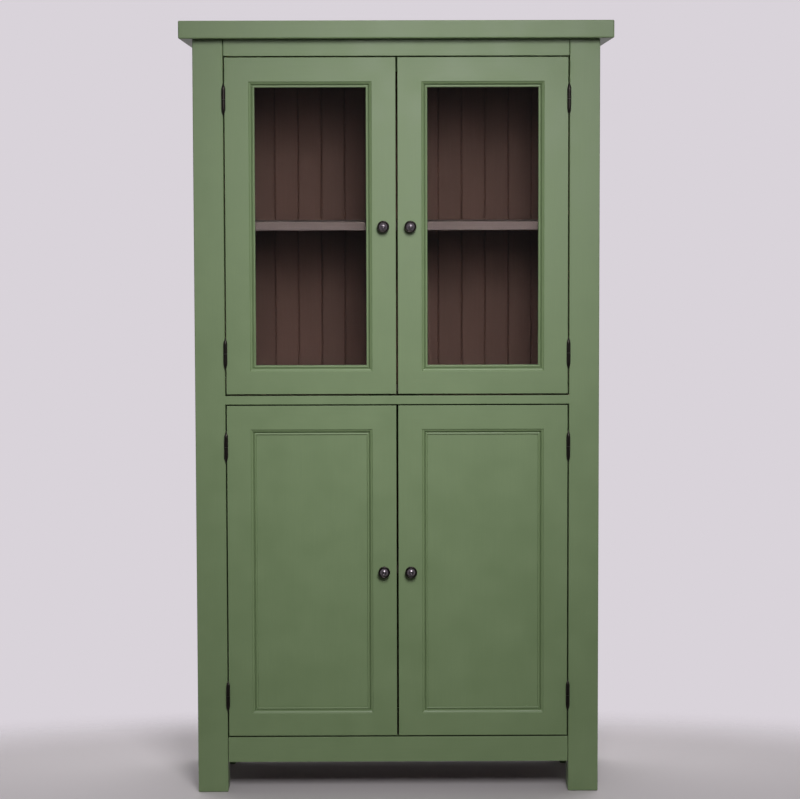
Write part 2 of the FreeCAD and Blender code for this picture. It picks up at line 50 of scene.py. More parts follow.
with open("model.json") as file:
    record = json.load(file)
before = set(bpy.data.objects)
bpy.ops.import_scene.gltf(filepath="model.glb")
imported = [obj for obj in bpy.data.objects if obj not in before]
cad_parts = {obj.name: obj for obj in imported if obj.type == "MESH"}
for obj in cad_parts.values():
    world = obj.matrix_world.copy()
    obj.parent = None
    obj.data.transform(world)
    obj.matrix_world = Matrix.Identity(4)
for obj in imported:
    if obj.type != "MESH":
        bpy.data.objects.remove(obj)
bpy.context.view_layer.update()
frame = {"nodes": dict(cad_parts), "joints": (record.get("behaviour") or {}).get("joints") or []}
MM = 0.001
SIDES = {"left": -1, "right": 1}
DOORS = [(tier, side) for tier in ("lower", "upper") for side in SIDES]
JOINT_AT = {joint["name"]: joint["pos_m"] for joint in frame["joints"]}
# How far apart the joints of the back boards are
BOARD_COVER = 57 * MM
# Points to a quarter circle on the small eased plates
PLATE_STEPS = 3
# Points nearer than this are merged, and edges over this angle stay sharp
MERGED = 0.002 * MM
SHARP = math.radians(38)


class CabinetFinish(bpy.types.PropertyGroup):
    """Colours of the finishes, as sRGB hex values."""
    paint: StringProperty(
        name="Paint", description="Green of the satin paint", default="#748860")
    paint_shade: StringProperty(
        name="Paint shade", description="Green where the film lies thicker", default="#6e825b")
    stain: StringProperty(
        name="Stain", description="Brown of the stained shelves and decks", default="#5a4948")
    stain_shade: StringProperty(
        name="Stain in the grain", description="Brown in their darker grain", default="#514140")
    board: StringProperty(
        name="Board", description="Brown of the stained back boards", default="#452922")
    board_shade: StringProperty(
        name="Board grain", description="Brown in the boards' darker grain", default="#3f251f")
    iron: StringProperty(
        name="Iron", description="Blackened iron of the knobs and hinges", default="#262220")
    iron_worn: StringProperty(
        name="Worn iron", description="Iron where handling has browned it", default="#37322f")
    # The knob faces' lighter iron is partly wear from handling and partly a painted sheen, standing
    # in for the lamps' reflection
    iron_face: StringProperty(
        name="Knob face", description="Iron of the knobs' rubbed faces", default="#7e767e")
    zinc: StringProperty(
        name="Zinc", description="Zinc plating of screws, pins and strikes", default="#bcbcb6")
    plastic: StringProperty(
        name="Plastic", description="Brown plastic of the catches", default="#3b2c24")
    pane: StringProperty(
        name="Pane", description="Tint of the float glass", default="#f4f8f6")


class CabinetFittings(bpy.types.PropertyGroup):
    """Sizes of the pieces that are modelled here."""
    segments: IntProperty(
        name="Segments", description="Sides of a turned piece", default=64, min=12)
    board_easing: FloatProperty(
        name="Top board easing", description="Radius of the top board's arrises",
        default=3 * MM, unit="LENGTH")
    rail_easing: FloatProperty(
        name="Rail easing", description="Radius of the front rails' arrises",
        default=1 * MM, unit="LENGTH")
    leaf_corner: FloatProperty(
        name="Leaf corner", description="Corner radius of a hinge leaf",
        default=1 * MM, unit="LENGTH")
    plate_easing: FloatProperty(
        name="Plate easing", description="Softness of a pressed plate's edges",
        default=0.3 * MM, unit="LENGTH")
    screw_radius: FloatProperty(
        name="Screw head", description="Radius of a countersunk screw head",
        default=3.1 * MM, unit="LENGTH")
    bolt_radius: FloatProperty(
        name="Bolt head", description="Radius of the head of a knob's bolt",
        default=4.5 * MM, unit="LENGTH")


class CabinetStage(bpy.types.PropertyGroup):
    """The camera, the lamps and the plain room."""
    lens: FloatProperty(
        name="Lens", description="Focal length in millimetres", default=119.05)
    camera_place: FloatVectorProperty(
        name="Camera place", description="Where the camera stands",
        default=(-0.0297, -6.3076, 1.4298), subtype="TRANSLATION")
    camera_turn: FloatVectorProperty(
        name="Camera turn", description="The camera's pitch down, roll and yaw",
        default=(0.08188, -0.0026, -0.0059), subtype="EULER")
    backdrop: StringProperty(
        name="Backdrop", description="Colour behind the cabinet", default="#d9d3da")
    floor: StringProperty(
        name="Floor", description="Colour of the floor", default="#d7d0d4")
    main_power: FloatProperty(
        name="Main lamp", description="Power of the tall soft lamp in front", default=10.9,
        unit="POWER")
    side_power: FloatProperty(
        name="Side lamps", description="Power of each small lamp at the sides", default=2.8,
        unit="POWER")
    room_light: FloatProperty(
        name="Room light", description="Strength of the light from all round", default=0.1)
    rear_light: FloatProperty(
        name="Rear light", description="Strength of the light from above and behind", default=2.9)


def settings():
    """The three groups of settings, as the panel shows them."""
    scene = bpy.context.scene
    return scene.cabinet_finish, scene.cabinet_fittings, scene.cabinet_stage


def linear(hex_colour):
    """Turns an sRGB hex value to linear red, green and blue, and full alpha."""
    channels = [int(hex_colour[i:i + 2], 16) / 255 for i in (1, 3, 5)]
    bent = [c / 12.92 if c <= 0.04045 else ((c + 0.055) / 1.055) ** 2.4 for c in channels]
    return (*bent, 1.0)


def add(tree, kind, links=None, **values):
    """Adds one node: values set its own properties, and links feed or set its inputs."""
    made = tree.nodes.new("ShaderNode" + kind)
    for name, value in values.items():
        setattr(made, name, value)
    for name, value in (links or {}).items():
        if isinstance(value, bpy.types.NodeSocket):
            tree.links.new(value, made.inputs[name])
        else:
            made.inputs[name].default_value = value
    return made


def stretched(tree, stretch):
    """Object coordinates, in metres, with each axis multiplied by its own number."""
    place = add(tree, "TexCoord").outputs["Object"]
    return add(tree, "Mapping", {"Vector": place, "Scale": stretch}).outputs["Vector"]


def noise(tree, per_metre, detail=2.0, distortion=0.0):
    """A noise with so many grains to a metre: one number for all axes, or one for each."""
    if not isinstance(per_metre, list):
        per_metre = [per_metre] * 3
    return add(tree, "TexNoise", {
        "Vector": stretched(tree, per_metre), "Scale": 1.0, "Detail": detail,
        "Distortion": distortion}).outputs[0]


def ramp(tree, value, start, end, low=0.0, high=1.0, **values):
    """Goes evenly from low to high while the value goes from start to end, and no further."""
    return add(tree, "MapRange", {
        "Value": value, "From Min": start, "From Max": end, "To Min": low, "To Max": high,
    }, **values).outputs[0]


def calc(tree, operation, *values, **more):
    """The result of one operation on up to three values."""
    return add(tree, "Math", dict(enumerate(values)), operation=operation, **more).outputs[0]


def blend(tree, share, first, second):
    """The first colour, with the share of it that the second one takes."""
    factor, colour_in, colour_out = 0, 6, 2
    return add(tree, "Mix", {factor: share, colour_in: first, colour_in + 1: second},
               data_type="RGBA").outputs[colour_out]


def relief(tree, height, strength, distance):
    """The surface's direction over bumps, which are the height times the distance."""
    return add(tree, "Bump", {
        "Height": height, "Strength": strength, "Distance": distance}).outputs[0]


def across(tree):
    """The X of a point, in metres."""
    place = add(tree, "TexCoord").outputs["Object"]
    return add(tree, "SeparateXYZ", {"Vector": place}).outputs["X"]


def material(name, build):
    """A named material whose nodes are laid by build, which returns the surface's shader."""
    made = bpy.data.materials.new(name)
    made.use_nodes = True
    tree = made.node_tree
    tree.nodes.clear()
    shader = build(tree)
    output = tree.nodes.new("ShaderNodeOutputMaterial")
    tree.links.new(shader.outputs[0], output.inputs["Surface"])
    return made


def paint_look(tree, along):
    """Satin acrylic paint, sprayed over primed wood and laid off along the grain.

    The eye sees an even green with a soft sheen, slightly cloudy in patches of about 70 mm, with
    faint streaks one way, a little under 1 mm apart.
    """
    finish = settings()[0]
    streak_scale = [1200.0] * 3
    streak_scale[along] = 11.0
    clouds = noise(tree, 15.0, detail=3.0)
    streaks = noise(tree, streak_scale)
    share = ramp(tree, calc(tree, "MULTIPLY", clouds, streaks), 0.08, 0.44)
    # The spray's own grain is about 0.3 mm across and a few hundredths of a millimetre high
    peel = noise(tree, 3250.0, detail=1.0)
    return {
        "Base Color": blend(tree, share, linear(finish.paint_shade), linear(finish.paint)),
        "Roughness": ramp(tree, clouds, 0.3, 0.7, 0.42, 0.52),
        "Normal": relief(tree, calc(tree, "ADD", peel, streaks), 0.25, 0.06 * MM)}


def board_tone(tree):
    """How light each back board came out of the stain, and how dark its joints are."""
    offset = calc(tree, "SUBTRACT", across(tree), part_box("back_boards")[0].x)
    number = calc(tree, "DIVIDE", offset, BOARD_COVER)
    chance = add(tree, "TexWhiteNoise", {"W": calc(tree, "FLOOR", number)},
                 noise_dimensions="1D").outputs["Value"]
    # Dust and stain gather 0.6 mm to each side of a joint
    joint = calc(tree, "PINGPONG", number, 0.5)
    shade = ramp(tree, joint, 0.0, 0.6 * MM / BOARD_COVER, 0.4, 1.0)
    return calc(tree, "MULTIPLY", ramp(tree, chance, 0.0, 1.0, 0.94, 1.05), shade)


def stain_look(tree, along, light, dark, boarded=False):
    """Softwood under a thin brown stain and matt lacquer.

    The eye sees dark late wood in streaks one way, about 4 mm by 100 mm, and pores half a
    millimetre wide between them. Each of the back boards took the stain a little differently.
    """
    grain_scale = [275.0] * 3
    grain_scale[along] = 10.0
    pore_scale = [2100.0] * 3
    pore_scale[along] = 70.0
    grain = noise(tree, grain_scale, detail=4.0, distortion=0.6)
    pores = noise(tree, pore_scale)
    mixed = calc(tree, "MULTIPLY_ADD", pores, 0.35, grain)
    share = ramp(tree, mixed, 0.3, 0.95)
    base = blend(tree, share, linear(dark), linear(light))
    if boarded:
        base = add(tree, "HueSaturation", {"Value": board_tone(tree), "Color": base}).outputs[0]
    return {"Base Color": base, "Roughness": ramp(tree, share, 0.0, 1.0, 0.8, 0.7),
            "Normal": relief(tree, mixed, 0.3, 0.1 * MM), "Specular IOR Level": 0.3}


def wood_shader(tree, look):
    """The one shader under any paint or stain: a film of resin over wood."""
    return add(tree, "BsdfPrincipled", {**look, "IOR": 1.5})


def two_faced_look(tree):
    """A side panel: painted outside like the case, and stained inside like the shelves."""
    finish = settings()[0]
    low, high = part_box("side_panel_left")
    distance = calc(tree, "ABSOLUTE", across(tree))
    outside = calc(tree, "GREATER_THAN", distance, abs(low.x + high.x) / 2)
    inner = stain_look(tree, 2, finish.stain, finish.stain_shade)
    look = paint_look(tree, 2)
    look["Base Color"] = blend(tree, outside, inner["Base Color"], look["Base Color"])
    return look


def iron_shader(tree):
    """Blackened iron under wax: near black, with a soft broken sheen and browner worn spots.

    Worn spots are about 0.8 mm across, and the cast skin is about 0.1 mm in grain.
    """
    finish = settings()[0]
    patches = noise(tree, 1300.0, detail=4.0)
    share = ramp(tree, patches, 0.45, 0.75)
    return add(tree, "BsdfPrincipled", {
        "Base Color": blend(tree, share, linear(finish.iron), linear(finish.iron_worn)),
        "Metallic": 0.85, "Roughness": ramp(tree, patches, 0.0, 1.0, 0.24, 0.4),
        "Normal": relief(tree, noise(tree, 8000.0), 0.25, 0.05 * MM)})


def rubbed_and_sheened_iron_shader(tree):
    """The same iron on the knobs' faces: a lighter grey in spots about 0.5 mm across, partly wear
    from fingers and partly a painted sheen.
    """
    finish = settings()[0]
    patches = noise(tree, 2000.0, detail=4.0)
    share = ramp(tree, patches, 0.3, 0.6)
    return add(tree, "BsdfPrincipled", {
        "Base Color": blend(tree, share, linear(finish.iron_worn), linear(finish.iron_face)),
        "Metallic": 0.9, "Roughness": ramp(tree, patches, 0.0, 1.0, 0.22, 0.36),
        "Normal": relief(tree, noise(tree, 8000.0), 0.2, 0.05 * MM)})


def zinc_shader(tree):
    """Bright zinc plating: pale grey metal with fine rolling marks, about 0.2 mm apart."""
    marks = noise(tree, [450.0, 450.0, 4500.0], detail=3.0)
    return add(tree, "BsdfPrincipled", {
        "Base Color": linear(settings()[0].zinc), "Metallic": 1.0,
        "Roughness": ramp(tree, marks, 0.0, 1.0, 0.24, 0.42)})


def plastic_shader(tree):
    """Moulded brown plastic with a fine spark texture, 0.1 mm in grain."""
    return add(tree, "BsdfPrincipled", {
        "Base Color": linear(settings()[0].plastic), "Roughness": 0.55, "IOR": 1.49,
        "Normal": relief(tree, noise(tree, 7000.0), 0.3, 0.05 * MM)})


def pane_shader(tree):
    """Clear float glass: what is behind it shows, under a faint mirror of the room.

    Lamps reach the shelves through it, as they do through a real pane.
    """
    tint = linear(settings()[0].pane)
    glass = add(tree, "BsdfPrincipled", {
        "Base Color": tint, "Roughness": 0.0, "IOR": 1.5, "Transmission Weight": 1.0})
    clear = add(tree, "BsdfTransparent", {"Color": tint})
    shadow = add(tree, "LightPath").outputs["Is Shadow Ray"]
    return add(tree, "MixShader", {0: shadow, 1: glass.outputs[0], 2: clear.outputs[0]})


def finishes():
    """Every finish of the cabinet by its name, each made once."""
    if "float_glass" not in bpy.data.materials:
        finish = settings()[0]
        for name, along in (("level", 0), ("deep", 1), ("upright", 2)):
            material("satin_paint_" + name, lambda tree: wood_shader(tree, paint_look(tree, along)))
        for name, along in (("shelf", 0), ("bearer", 1)):
            material(f"stained_{name}_wood", lambda tree: wood_shader(
                tree, stain_look(tree, along, finish.stain, finish.stain_shade)))
        material("stained_back_boards", lambda tree: wood_shader(
            tree, stain_look(tree, 2, finish.board, finish.board_shade, boarded=True)))
        material("painted_and_stained_panel", lambda tree: wood_shader(tree, two_faced_look(tree)))
        material("blackened_iron", iron_shader)
        material("rubbed_iron", rubbed_and_sheened_iron_shader)
        material("zinc_plated_steel", zinc_shader)
        material("brown_plastic", plastic_shader)
        material("float_glass", pane_shader)
    return bpy.data.materials


def softened(points, passes=2):
    """A smooth line near the points: each pass cuts every corner at a quarter of its ways.

    A point given twice stays nearly sharp. The first and last points stay where they are.
    """
    line = np.asarray(points, float)
    for _ in range(passes):
        cut = np.empty((2 * len(line) - 2, 2))
        cut[0::2] = 0.75 * line[:-1] + 0.25 * line[1:]
        cut[1::2] = 0.25 * line[:-1] + 0.75 * line[1:]
        line = np.vstack([line[:1], cut, line[-1:]])
    return line


def turned(profile, segments):
    """A turned surface: each (radius, height) of the profile goes once round the local Z.

    At angle a, a point lies at (radius cos a, radius sin a, height).
    """
    angle = np.linspace(0, 2 * np.pi, segments, endpoint=False)
    radius, height = profile[:, 0:1], profile[:, 1:2]
    return np.stack([radius * np.cos(angle), radius * np.sin(angle),
                     np.broadcast_to(height, (len(profile), segments))], axis=-1)


def eased_block(low, high, corner, easing, steps=5):
    """A block with round upright corners and eased arrises at its foot and top.

    Each ring is a rectangle drawn in by an inset, with corners of the corner radius less that
    inset. Inset and height follow a quarter circle of the easing at the foot, and the same upside
    down at the top. Every arc has one more point a little beyond each of its ends, so that the
    flats between the arcs shade as flats. The ends close on the middle of the block.
    """
    low, high = np.asarray(low, float), np.asarray(high, float)
    hold = easing / 8
    turn = np.linspace(0, np.pi / 2, steps)
    inset = np.concatenate([[easing + hold], easing * (1 - np.sin(turn)), [0]])
    rise = np.concatenate([[0], easing * (1 - np.cos(turn)), [easing + hold]])
    inset = np.concatenate([inset, inset[::-1]])[:, None]
    height = np.concatenate([low[2] + rise, high[2] - rise[::-1]])[:, None]
    arc = np.concatenate([turn[:1], turn, turn[-1:]])
    angle = np.concatenate([arc + k * np.pi / 2 for k in range(4)])
    shift = np.tile(np.concatenate([[-hold], np.zeros(steps), [hold]]), 4)
    sign_x, sign_y = np.repeat([1, -1, -1, 1], steps + 2), np.repeat([1, 1, -1, -1], steps + 2)
    half, middle = (high - low) / 2, (high + low) / 2
    radius = np.maximum(corner - inset, 0)
    drawn_in = np.maximum(corner, inset)
    x = middle[0] + sign_x * (half[0] - drawn_in) + radius * np.cos(angle) - shift * np.sin(angle)
    y = middle[1] + sign_y * (half[1] - drawn_in) + radius * np.sin(angle) + shift * np.cos(angle)
    grid = np.stack([x, y, height + 0 * x], axis=-1)
    caps = [np.broadcast_to(grid[row].mean(0), grid[row].shape) for row in (0, -1)]
    return np.concatenate([caps[0][None], grid, caps[1][None]])


def bowed(start, end, bow, steps=6):
    """A bow between two points: the straight way, pushed to its left by 4 s (1 - s) times the bow.

    s is the share of the way from the start to the end.
    """
    share = np.linspace(0, 1, steps)[:, None]
    way = np.subtract(end, start)
    left = np.array([-way[1], way[0]]) / np.hypot(*way)
    return np.asarray(start) + way * share + 4 * share * (1 - share) * bow * left


def held(line, gap):
    """The line with one more point, a gap in from each end of every run over five gaps long.

    It keeps the shading of a flat run apart from that of the curves beside it.
    """
    way = np.diff(line, axis=0)
    length = np.linalg.norm(way, axis=1, keepdims=True)
    long = length > 5 * gap
    part = np.where(long, gap / np.maximum(length, gap), 0)
    points = np.stack([line[:-1], line[:-1] + way * part, line[1:] - way * part], axis=1)
    return np.vstack([points.reshape(-1, 2), line[-1:]])


def carried_round(section, x_ends, z_ends, face, drop):
    """A section carried round an upright rectangle, with mitred corners.

    A section point at distance t from the outer edge and depth d behind the face lies at each
    corner t in along X and along Z, and d behind the face. The inner half of the section lies a
    drop lower along the bottom. The section's ends are one point.
    """
    distance, depth = section[:, 0:1], section[:, 1:2]
    above_foot = distance - drop * (distance > distance.max() / 2)
    x = np.where([True, False, False, True], x_ends[0] + distance, x_ends[1] - distance)
    z = np.where([True, True, False, False], z_ends[0] + above_foot, z_ends[1] - distance)
    return np.stack([x, face + depth + 0 * x, z], axis=-1)


# Parts of a screw's head, as shares of its radius
CROSS_REACH, CROSS_HALF_WIDTH, CROSS_DEPTH, BELOW_RIM = 0.62, 0.14, 0.35, 0.4


def screw_head(radius, dome, sides=24, rings=7):
    """A screw's head with a cross recess, in the local XY plane with its top towards +Z.

    Its height falls with the square of the distance from the axis, and drops by the cross's depth
    within half a slot's width of either arm of the cross.
    """
    angle = np.linspace(0, 2 * np.pi, sides, endpoint=False)
    distance = np.linspace(0, radius, rings)[:, None]
    x, y = distance * np.cos(angle), distance * np.sin(angle)
    slot = CROSS_HALF_WIDTH * radius
    near_axis = (np.abs(x) < slot) | (np.abs(y) < slot)
    recess = np.where(near_axis & (distance < CROSS_REACH * radius), CROSS_DEPTH * radius, 0.0)
    z = dome * (1 - (distance / radius) ** 2) - recess
    grid = np.stack([x, y, z], axis=-1)
    foot = grid[-1] * (1, 1, 0) - (0, 0, dome + BELOW_RIM * radius)
    centre = np.broadcast_to(foot.mean(0), foot.shape)
    return np.concatenate([grid, foot[None], centre[None]])


def moved(grid, origin, x_axis, y_axis, z_axis):
    """A grid of local points put into the frame, by the frame directions of its three axes."""
    return np.asarray(origin, float) + grid @ np.array([x_axis, y_axis, z_axis], float)


def surface(name, grids, finish):
    """One mesh object from grids of points, whose rows go round and whose ends are closed.

    Points that coincide are merged, faces are turned outwards, and sharp edges are kept.
    """
    points, faces, start = [], [], 0
    for grid in grids:
        rows, around = grid.shape[:2]
        row, column = np.meshgrid(np.arange(rows - 1), np.arange(around), indexing="ij")
        here, after = row * around + column, row * around + (column + 1) % around
        quads = np.stack([here, after, after + around, here + around], axis=-1).reshape(-1, 4)
        points.append(grid.reshape(-1, 3))
        faces.append(quads + start)
        start += rows * around
    mesh = bpy.data.meshes.new(name)
    mesh.from_pydata(np.concatenate(points), [], np.concatenate(faces))
    shell = bmesh.new()
    shell.from_mesh(mesh)
    bmesh.ops.remove_doubles(shell, verts=shell.verts, dist=MERGED)
    bmesh.ops.recalc_face_normals(shell, faces=shell.faces)
    shell.to_mesh(mesh)
    shell.free()
    mesh.shade_smooth()
    mesh.set_sharp_from_angle(angle=SHARP)
    mesh.materials.append(finish)
    made = bpy.data.objects.new(name, mesh)
    bpy.context.scene.collection.objects.link(made)
    return made


def piece(name, grids, finish, body, replaces=()):
    """A closed piece of the cabinet that moves with a body of the frame."""
    made = surface(name, grids, finishes()[finish])
    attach(made, body)
    if replaces:
        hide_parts(*replaces)
    return made


def dress(node, finish):
    """Gives a node of the frame its finish."""
    slots = frame["nodes"][node].data.materials
    slots.clear()
    slots.append(finishes()[finish])


def finish_of(node):
    """The finish of a piece of woodwork or glass by the frame's name for it, or None."""
    if node.startswith("side_panel"):
        return "painted_and_stained_panel"
    if node == "back_boards":
        return "stained_back_boards"
    if node in ("deck_bearers", "shelf_cleats"):
        return "stained_bearer_wood"
    if node.startswith(("deck", "shelf")):
        return "stained_shelf_wood"
    if node.startswith("side_rail"):
        return "satin_paint_deep"
    if node.startswith("post") or node.endswith(("stile", "panel", "beads")):
        return "satin_paint_upright"
    if node.startswith("rail") or node.endswith("rail"):
        return "satin_paint_level"
    if node.endswith("glass"):
        return "float_glass"
    if node == "hinge_pins":
        return "zinc_plated_steel"
    return None


class CABINET_OT_woodwork(bpy.types.Operator):
    """Paints the case and doors, stains the boards and shelves, and glazes the upper doors"""
    bl_idname = "cabinet.woodwork"
    bl_label = "Finish the woodwork"

    def execute(self, context):
        for node in frame["nodes"]:
            finish = finish_of(node)
            if finish:
                dress(node, finish)
        return {"FINISHED"}


class CABINET_OT_top_and_rails(bpy.types.Operator):
    """Makes the top board with soft arrises, and the three front rails below it"""
    bl_idname = "cabinet.top_and_rails"
    bl_label = "Top board and rails"

    # Width of the open joints at the posts, and how far the middle rail is set back from its place
    JOINT = 1.1 * MM
    SINK = 0.05 * MM

    def level_piece(self, name, node, low, high, easing):
        grid = eased_block(low, high, easing, easing)
        piece(name, [grid], "satin_paint_level", "cabinet", [node])

    def execute(self, context):
        fittings = settings()[1]
        low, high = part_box("top_board")
        self.level_piece("top_board_eased", "top_board", low, high, fittings.board_easing)
        # The top and bottom rails show a fine dark joint at each post
        end = abs(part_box("post_front_left")[1].x) - self.JOINT
        for place in ("top", "bottom"):
            node = "rail_front_" + place
            low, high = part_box(node)
            self.level_piece(f"{place}_rail_eased", node, (-end, low.y, low.z),
                             (end, high.y, high.z), fittings.rail_easing)
        # The middle rail's joints are filled and painted over, so it runs over the posts' arrises
        low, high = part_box("rail_front_middle")
        self.level_piece("middle_rail_eased", "rail_front_middle",
                         (low.x, low.y + self.SINK, low.z), high, fittings.rail_easing)
        return {"FINISHED"}


class CABINET_OT_door_frames(bpy.types.Operator):
    """Makes the doors' frames, with the moulding carried round their inner edge"""
    bl_idname = "cabinet.door_frames"
    bl_label = "Door frames"

    # The section, in millimetres. Places on the moulding are distances from its inner edge, and
    # depths behind the flat. A bow is how far a part bulges (below nought) or hollows
    ARRIS = 0.8
    STEP = (14.0, 0.0)
    SLOPE = (13.1, 1.0)
    QUIRK = (8.7, 3.2)
    QUIRK_FOOT = ((5.6, 8.7), (5.2, 8.7))
    BEAD = (4.5, 6.5)
    INNER_EDGE = (0.0, 9.0)
    STEP_BOW, SLOPE_BOW, BEAD_BOW = -0.12, 0.3, -1.6
    REBATE = 9
    GLASS_DEPTH = 10
    HOLD = 0.25
    # The bow of a quarter circle, as a share of its radius
    QUARTER_BOW = 0.29
    # How much narrower a bottom rail is than a stile, and how far its foot was planed to clear
    NARROWER = 1.6 * MM
    PLANED = {"upper": 1.2 * MM, "lower": 0.6 * MM}
    # Edges are mitres where their X and Z differ by less than this
    MITRE = 1e-6

    def section(self, width, thickness, infill):
        """The closed section, as distance from the outer edge and depth, in millimetres.

        From the flat inwards: a rounded step, a hollow slope, a deep quirk and a full bead.
        """
        places = (self.STEP, self.SLOPE, self.QUIRK, *self.QUIRK_FOOT, self.BEAD, self.INNER_EDGE)
        step, slope, quirk, foot, foot_end, bead, edge = [
            (width - inwards, depth) for inwards, depth in places]
        front = [(0, self.ARRIS + 0.1)]
        front += list(bowed((0, self.ARRIS), (self.ARRIS, 0), -self.QUARTER_BOW * self.ARRIS))
        front += list(bowed(step, slope, self.STEP_BOW, 4))
        front += list(bowed(slope, quirk, self.SLOPE_BOW))
        front += [foot, foot_end]
        front += list(bowed(bead, edge, self.BEAD_BOW, 11))
        if infill == "glass":
            inner = width - self.REBATE
            back = [(width, self.GLASS_DEPTH), (inner, self.GLASS_DEPTH), (inner, thickness)]
        else:
            back = [(width, thickness)]
        return held(np.array(front + back + [(0, thickness), front[0]], float), self.HOLD)

    def execute(self, context):
        for tier, side in DOORS:
            nodes = [f"door_{tier}_{side}_{part}"
                     for part in ("hinge_stile", "lock_stile", "bottom_rail", "top_rail")]
            boxes = [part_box(node) for node in nodes]
            low = np.min([box[0] for box in boxes], axis=0)
            high = np.max([box[1] for box in boxes], axis=0)
            width = boxes[0][1].x - boxes[0][0].x
            infill = "glass" if tier == "upper" else "panel"
            section = self.section(width / MM, (high[1] - low[1]) / MM, infill) * MM
            planed = self.PLANED[tier]
            grid = carried_round(section, (low[0], high[0]), (low[2] + planed, high[2]), low[1],
                                 self.NARROWER + planed)
            made = piece(f"frame_{tier}_{side}", [grid], "satin_paint_upright",
                         f"door_{tier}_{side}", nodes)
            self.part_by_mitres(made.data, low, high)
        return {"FINISHED"}

    def part_by_mitres(self, mesh, low, high):
        """Keeps the mitres crisp, and lays the paint along the rails on the faces near them."""
        mesh.materials.append(finishes()["satin_paint_level"])
        middles = np.empty((len(mesh.polygons), 3))
        mesh.polygons.foreach_get("center", middles.ravel())
        near = (high - low) / 2 - np.abs(middles - (high + low) / 2)
        mesh.polygons.foreach_set("material_index", (near[:, 2] < near[:, 0]).astype(np.int32))
        places = np.empty((len(mesh.vertices), 3))
        mesh.vertices.foreach_get("co", places.ravel())
        ends = np.empty((len(mesh.edges), 2), np.int32)
        mesh.edges.foreach_get("vertices", ends.ravel())
        sharp = np.empty(len(mesh.edges), bool)
        mesh.edges.foreach_get("use_edge_sharp", sharp)
        way = np.abs(places[ends[:, 1]] - places[ends[:, 0]])
        mitre = (np.abs(way[:, 0] - way[:, 2]) < self.MITRE) & (way[:, 0] > self.MITRE)
        mesh.edges.foreach_set("use_edge_sharp", sharp | mitre)


class CABINET_OT_knobs(bpy.types.Operator):
    """Turns the four knobs, each with a flanged foot, a waisted neck and a domed face"""
    bl_idname = "cabinet.knobs"
    bl_label = "Knobs"

    # Radius and height above the stile, in millimetres
    FOOT = [(0, 0), (8, 0), (8, 0), (8, 1.4), (7.6, 1.8), (5.4, 3.4), (4.6, 6.2), (4.8, 9.6)]
    HEAD = [(8.6, 13.6), (12.4, 16.2), (14, 17.8), (14, 18.2), (14, 19.4), (13.3, 20.6),
            (11.9, 21.1), (10.9, 20.3), (10.2, 20.0), (9, 20), (0, 20)]
    FACE = [(0, 19.5), (10, 19.5), (10, 19.5), (10, 20.8), (9.2, 22.5), (6.4, 24.7),
            (3.6, 25.7), (2.9, 25.8), (2.3, 24.9), (1.9, 24.9), (1.5, 25.9), (0.8, 26), (0, 26)]

    def execute(self, context):
        for tier, side in DOORS:
            body = f"door_{tier}_{side}"
            low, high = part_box(body + "_knob")
            foot = ((low.x + high.x) / 2, high.y, (low.z + high.z) / 2)
            # The face gets a lighter iron than the body: partly wear, partly a painted sheen
            for name, profile, finish in (("turned_knob", self.FOOT + self.HEAD, "blackened_iron"),
                                          ("knob_face", self.FACE, "rubbed_iron")):
                grid = moved(turned(softened(profile) * MM, settings()[1].segments), foot,
                             (1, 0, 0), (0, 0, 1), (0, -1, 0))
                piece(f"{name}_{tier}_{side}", [grid], finish, body, [body + "_knob"])
        return {"FINISHED"}


